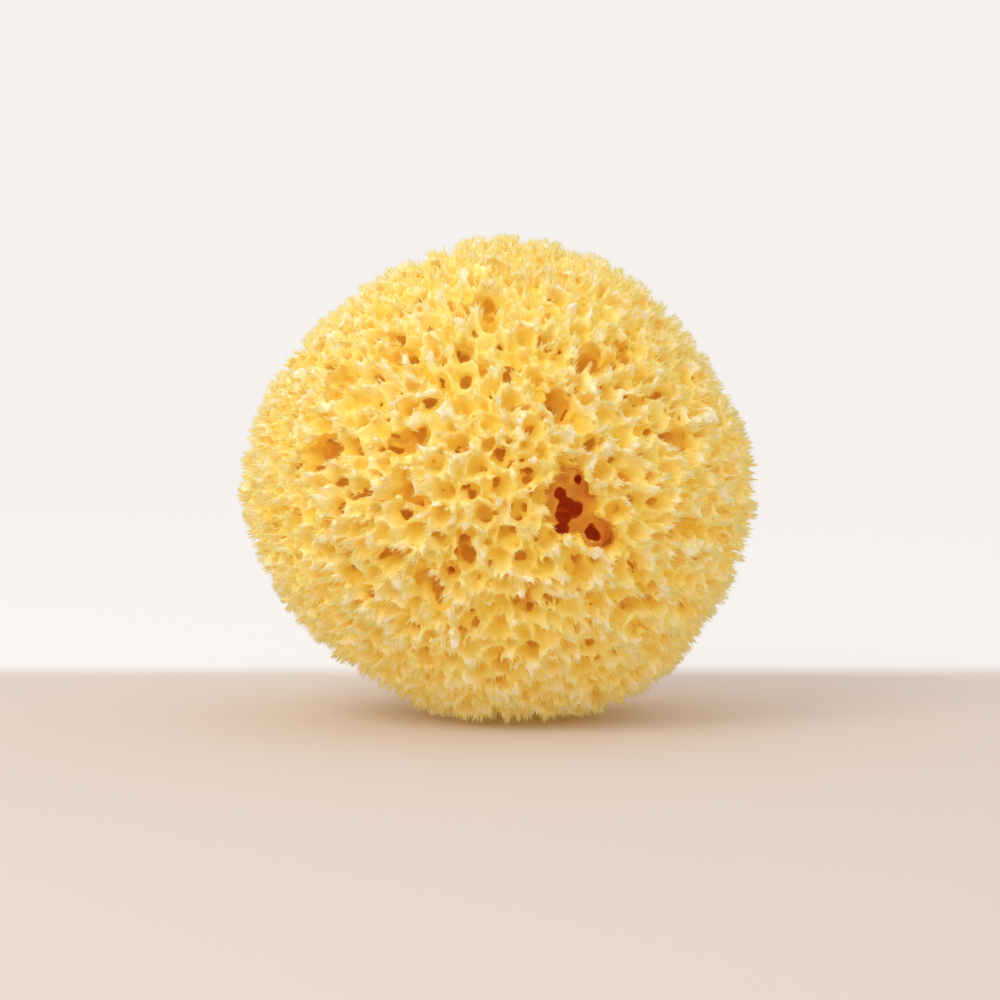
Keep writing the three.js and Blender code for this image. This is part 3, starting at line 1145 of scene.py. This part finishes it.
@dataclass
class Sponge:
    """The whole sponge: its mass in sectors, and its fibres."""

    node: bpy.types.Object
    skin: Envelope
    rng: np.random.Generator
    finish: DryFibre = DryFibre()
    # single fibres get a stronger painted glow, which lifts their shade
    thin_finish: DryFibre = DryFibre(name="single_fibres", scatter=0.0, painted_glow=0.38, grain_height=0.0)
    fibre_shade_offset: float = 0.33  # added to the painted shade of the web under single fibres, which makes them more golden
    fibre_shade_most: float = 0.50

    SHADE = 0.5  # painted shade where none of the computed light comes
    DEEP = 0.5  # painted shade added at the depth DEEP_AT
    DEEP_AT = 20 * MM
    DEPTH_MOST = 30 * MM
    PAINTED_RED_BAND = 2.2  # how thick the band of painted red shade round the mouth is, counted in the fade width below
    PAINTED_RED_FADE = 0.6 * MM
    RED_AT = 2 * MM  # depths over which the painted red shade grows, under the skin and under the ledge
    INNER_RED_AT = 3 * MM
    RED_LATE = 0.3

    def build(self) -> list[bpy.types.Object]:
        """Makes every piece, dressed and riding on the frame.

        Returns:
            The pieces: the sectors of the mass, then the fibres and flames.
        """
        mass = SpongeMass(self.skin, self.rng)
        mass.carve(self.node)
        whole = mass.polygons()
        fibres = Fringe(mass, self.rng).grow(whole)
        flames = Fringe(
            mass, self.rng, count=15000, bundles=1, name="flames", length=(2.0 * MM, 4.4 * MM),
            width=(0.6 * MM, 1.2 * MM), root=1.3 * MM, spread=0.10, within=2.8 * MM, clumps=0.6,
        )
        fibres += flames.grow(whole)
        webs = self._sectors(whole)
        web_material, fibre_material = self.finish.material(), self.thin_finish.material()
        pieces = [new_object(mesh.name, mesh) for mesh in webs + fibres]
        for number, piece in enumerate(pieces):
            fibre = number >= len(webs)
            self._paint_shade(piece.data, mass, fibre)
            piece.data.materials.append(fibre_material if fibre else web_material)
            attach(piece, "root")
            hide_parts(NODE)
            triangles = sum(len(p.vertices) - 2 for p in piece.data.polygons)
            log.info("%s: %d triangles", piece.name, triangles)
        return pieces

    def _sectors(self, whole: bpy.types.Mesh) -> list[bpy.types.Mesh]:
        """Cuts the mass by planes through its middle.

        Args:
            whole: the mass.

        Returns:
            Eight closed meshes.
        """
        bm = bmesh.new()
        bm.from_mesh(whole)
        parts = {"webs": bm}
        for cut in Cut:
            at = float(self.skin.middle[cut.axis])
            halves = {}
            for name, part in parts.items():
                for high, side in enumerate(cut.sides):
                    halves[f"{name}_{side}"] = half_of(part, cut, at, bool(high))
                part.free()
            parts = halves
        meshes = []
        for name, part in parts.items():
            mesh = bpy.data.meshes.new(name)
            part.to_mesh(mesh)
            part.free()
            meshes.append(mesh)
        return meshes

    def _paint_shade(self, mesh: bpy.types.Mesh, mass: SpongeMass, fibre: bool) -> None:
        """Writes each vertex's painted shade: more gold and red where less of the computed light soaks in
        and where it lies deeper.

        Args:
            mesh: the piece's mesh.
            mass: the mass, for its light and its main mouth.
            fibre: whether the piece is made of single fibres.
        """
        points = vertex_array(mesh).astype(float)
        depth = np.clip(self.skin.depth(points), 0, self.DEPTH_MOST)
        light = mass.light_at(points)
        # painted shade: more gold and red where less of the computed light comes and deeper under the skin
        stain = self.SHADE * (1 - light) + self.DEEP * depth / self.DEEP_AT
        if fibre:
            write_attribute(mesh, "stain", np.minimum(stain + self.fibre_shade_offset, self.fibre_shade_most))
            return
        # painted red shade round the main mouth, stronger deeper in and further in the openings
        painted_red_band = np.clip(self.PAINTED_RED_BAND - mass.mouth_distance(points) / self.PAINTED_RED_FADE, 0, 1)
        mouth = mass.osculum
        painted_redness = mouth.painted_redness * np.clip(depth / self.RED_AT - self.RED_LATE, 0, 1)
        inner = (depth - mouth.ledge) / self.INNER_RED_AT
        painted_redness += mouth.inner_painted_redness * np.clip(inner - self.RED_LATE, 0, 1)
        stain += painted_redness * painted_red_band
        write_attribute(mesh, "stain", stain)


# ---------- the studio ----------


@dataclass
class Studio:
    """The floor, the lights and the camera."""

    reach: float = 3.0  # half the floor's width
    distance: float = 0.93  # from the camera to its target
    lens: float = 123.6
    elevation: float = 4.0  # degrees that the camera looks down
    aside: float = -0.0004  # how far the box's middle lies to the right of the camera's target
    above: float = 0.0061  # and how far over it
    room_colour: tuple[float, float, float] = (0.93, 0.90, 0.885)
    room_strength: float = 0.98
    key_place: tuple[float, float, float] = (-0.55, -0.6, 0.8)
    key_target: tuple[float, float, float] = (0, 0, 0.06)
    key_size: float = 0.6
    key_energy: float = 3.6
    key_colour: tuple[float, float, float] = (1.0, 0.98, 0.95)
    floor_roughness: float = 0.9
    floor_specular: float = 0.2
    fade: tuple[float, float] = (0.082, 0.125)  # where the floor starts and ends to fade, along Y
    floor_colours: tuple[tuple[float, float, float], ...] = ((0.70, 0.615, 0.555), (0.35, 0.34, 0.33))
    floor_lift: tuple[tuple[float, float, float], ...] = ((0, 0, 0), (0.56, 0.54, 0.53))

    def build(self, low: Vector, high: Vector) -> None:
        """Sets the floor, lights and camera round the sponge.

        Args:
            low: the lowest corner of the sponge's box.
            high: the highest corner.
        """
        self._floor()
        self._lights()
        self._camera((low + high) / 2)

    def _floor(self) -> None:
        """A wide plain floor, which fades from pale beige to near white behind the sponge."""
        bm = bmesh.new()
        bmesh.ops.create_grid(bm, x_segments=2, y_segments=2, size=self.reach)
        mesh = bpy.data.meshes.new("floor")
        bm.to_mesh(mesh)
        bm.free()
        floor = new_object("floor", mesh)
        material = bpy.data.materials.new("floor")
        material.use_nodes = True
        nodes, links = material.node_tree.nodes, material.node_tree.links
        shader = nodes["Principled BSDF"]
        shader.inputs["Roughness"].default_value = self.floor_roughness
        shader.inputs["Specular IOR Level"].default_value = self.floor_specular
        place = nodes.new("ShaderNodeSeparateXYZ")
        links.new(nodes.new("ShaderNodeTexCoord").outputs["Object"], place.inputs["Vector"])
        fade = nodes.new("ShaderNodeMapRange")
        fade.interpolation_type = "SMOOTHSTEP"
        for name, value in zip(("From Min", "From Max"), self.fade):
            fade.inputs[name].default_value = value
        links.new(place.outputs["Y"], fade.inputs["Value"])
        for socket, colours in (("Base Color", self.floor_colours), ("Emission Color", self.floor_lift)):
            mix = nodes.new("ShaderNodeMix")
            mix.data_type = "RGBA"
            mix.inputs["A"].default_value, mix.inputs["B"].default_value = ((*c, 1) for c in colours)
            links.new(fade.outputs["Result"], mix.inputs["Factor"])
            links.new(mix.outputs["Result"], shader.inputs[socket])
        shader.inputs["Emission Strength"].default_value = 1.0
        mesh.materials.append(material)
        floor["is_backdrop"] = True

    def _lights(self) -> None:
        """A bright room and one large soft light from the upper left."""
        world = bpy.data.worlds.new("room")
        world.use_nodes = True
        background = world.node_tree.nodes["Background"]
        background.inputs["Color"].default_value = (*self.room_colour, 1)
        background.inputs["Strength"].default_value = self.room_strength
        bpy.context.scene.world = world
        data = bpy.data.lights.new("key", "AREA")
        data.size = self.key_size
        data.energy = self.key_energy
        data.color = self.key_colour
        key = bpy.data.objects.new("key", data)
        bpy.context.scene.collection.objects.link(key)
        place = Vector(self.key_place)
        key.location = place
        key.rotation_euler = (Vector(self.key_target) - place).to_track_quat("-Z", "Y").to_euler()
        bpy.context.scene.view_settings.view_transform = "Standard"
        bpy.context.scene.cycles.diffuse_bounces = 8

    def _camera(self, middle: Vector) -> None:
        """Sets a long lens that looks a little down.

        Args:
            middle: the middle of the sponge's box.
        """
        data = bpy.data.cameras.new("camera")
        data.lens = self.lens
        camera = bpy.data.objects.new("camera", data)
        bpy.context.scene.collection.objects.link(camera)
        tilt = math.radians(self.elevation)
        back = Vector((0, -math.cos(tilt), math.sin(tilt)))
        target = middle - Vector((self.aside, 0, self.above))
        camera.location = target + back * self.distance
        camera.rotation_euler = (-back).to_track_quat("-Z", "Y").to_euler()
        bpy.context.scene.camera = camera


def main() -> None:
    """Builds the sponge and its studio, which is set round the CAD's box."""
    logging.basicConfig(level=logging.INFO, format="%(name)s: %(message)s")
    cad_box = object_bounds()
    Studio().build(*cad_box)
    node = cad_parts[NODE]
    pieces = Sponge(node, Envelope(node), np.random.default_rng(SEED)).build()
    log.info("%d pieces", len(pieces))


if __name__ == "__main__":
    main()
